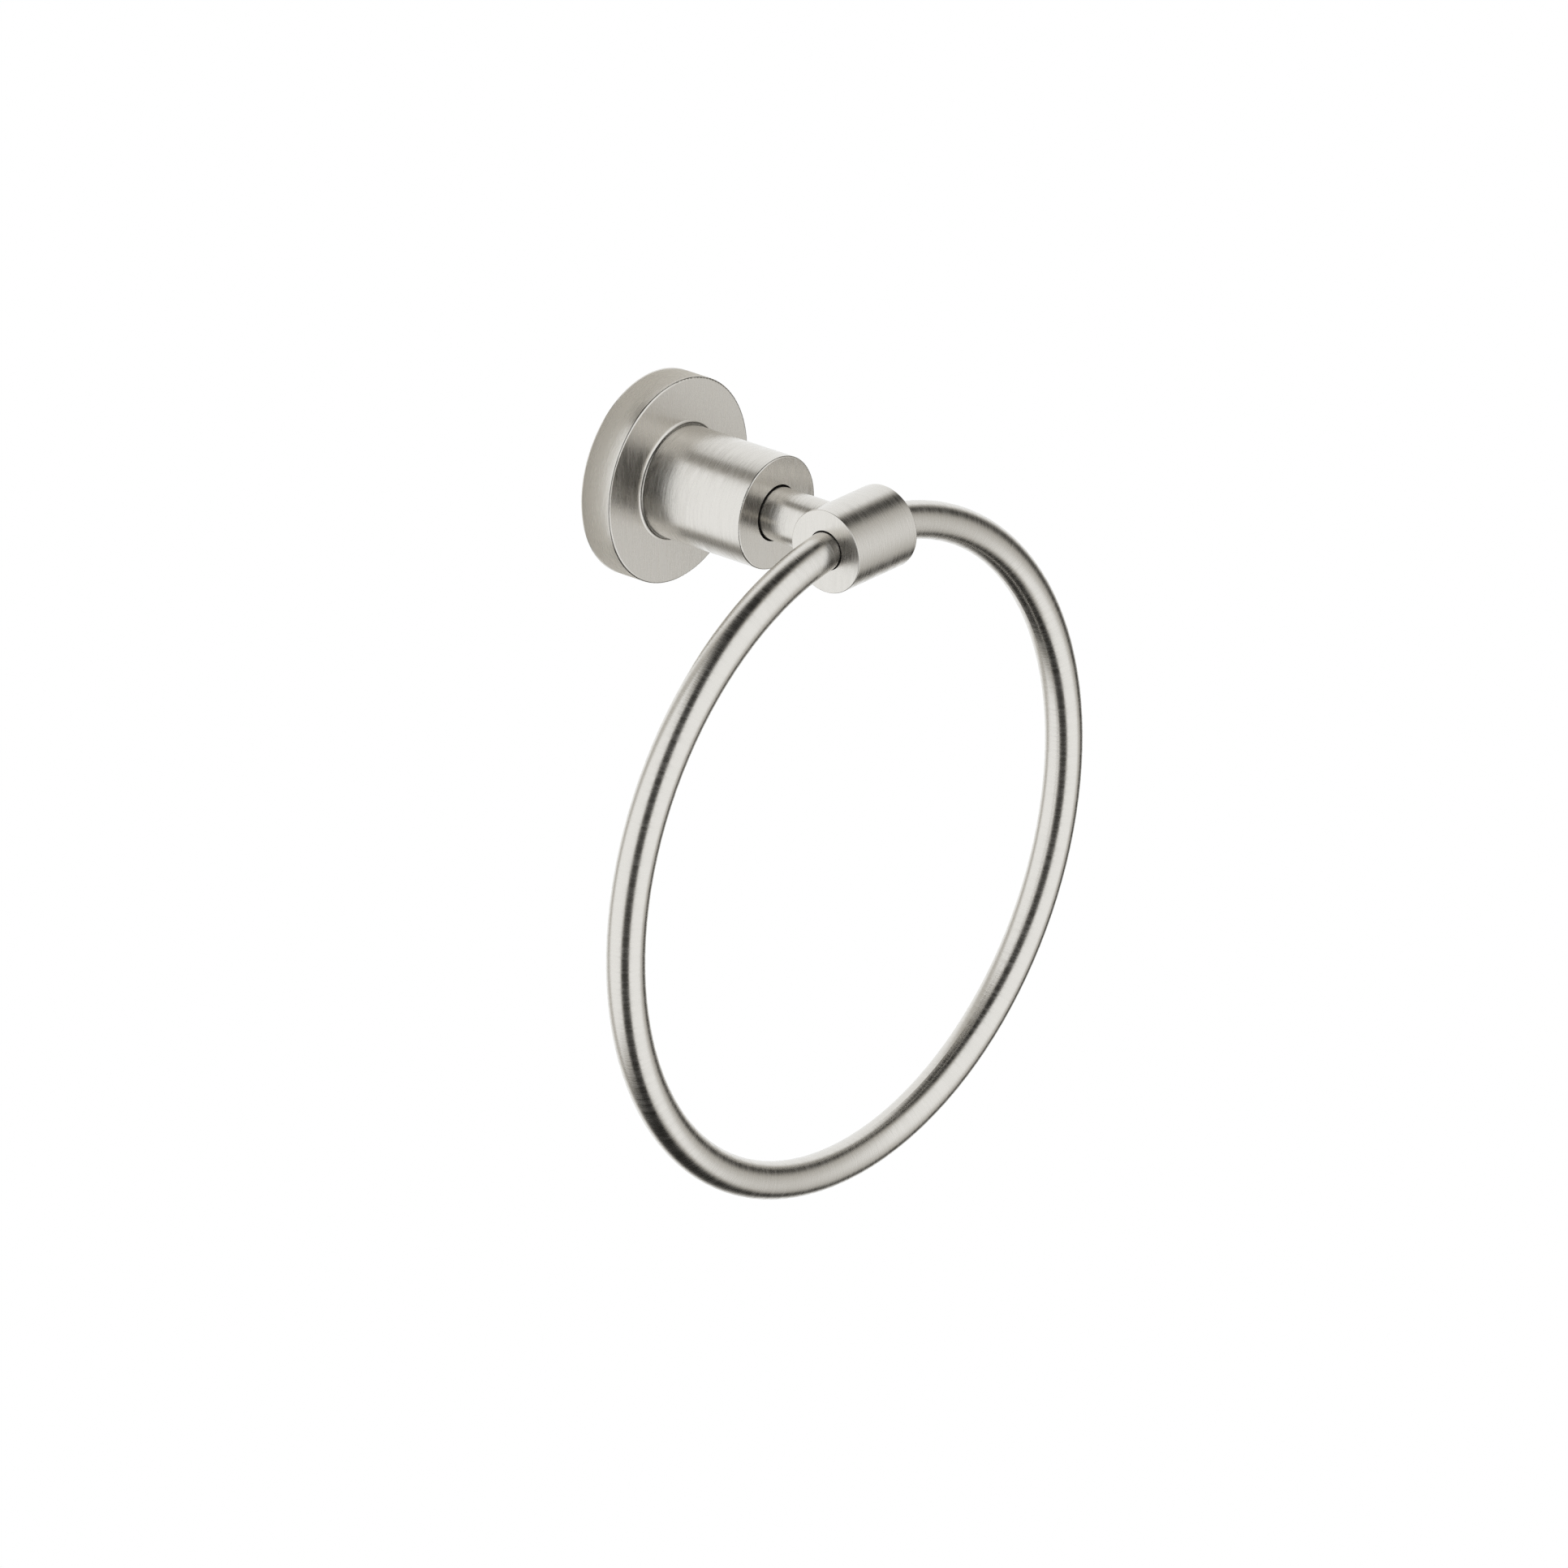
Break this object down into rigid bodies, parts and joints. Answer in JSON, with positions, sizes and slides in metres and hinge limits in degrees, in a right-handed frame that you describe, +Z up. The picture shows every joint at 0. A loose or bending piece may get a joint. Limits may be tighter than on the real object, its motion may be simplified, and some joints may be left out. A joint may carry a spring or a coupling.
{
  "type": "towel ring",
  "caption": "Wall towel ring: a round flange and thick post carry a thinner stem, whose cross hub holds a plain round ring. Brushed nickel.",
  "frame": {"origin": "on the wall plane, at the centre of the wall bracket's back face, on the post's axis", "axes": "+Y into the wall, so the part stands out along -Y; +Z up; +X to the right as seen from the room"},
  "size_m": [0.1859, 0.0787, 0.2072],
  "materials": {
    "brushed_nickel": "brushed warm nickel",
    "plated_steel": "bright zinc plate",
    "screw_steel": "plain stainless"
  },
  "bodies": {
    "root": {"flange": "brushed_nickel", "post": "brushed_nickel", "stem": "brushed_nickel", "hub": "brushed_nickel", "ring": "brushed_nickel", "wall_bracket": "plated_steel", "post_set_screw": "screw_steel", "stem_bolt": "screw_steel", "stem_washer": "screw_steel", "hub_stud": "screw_steel"}
  },
  "joints": []
}
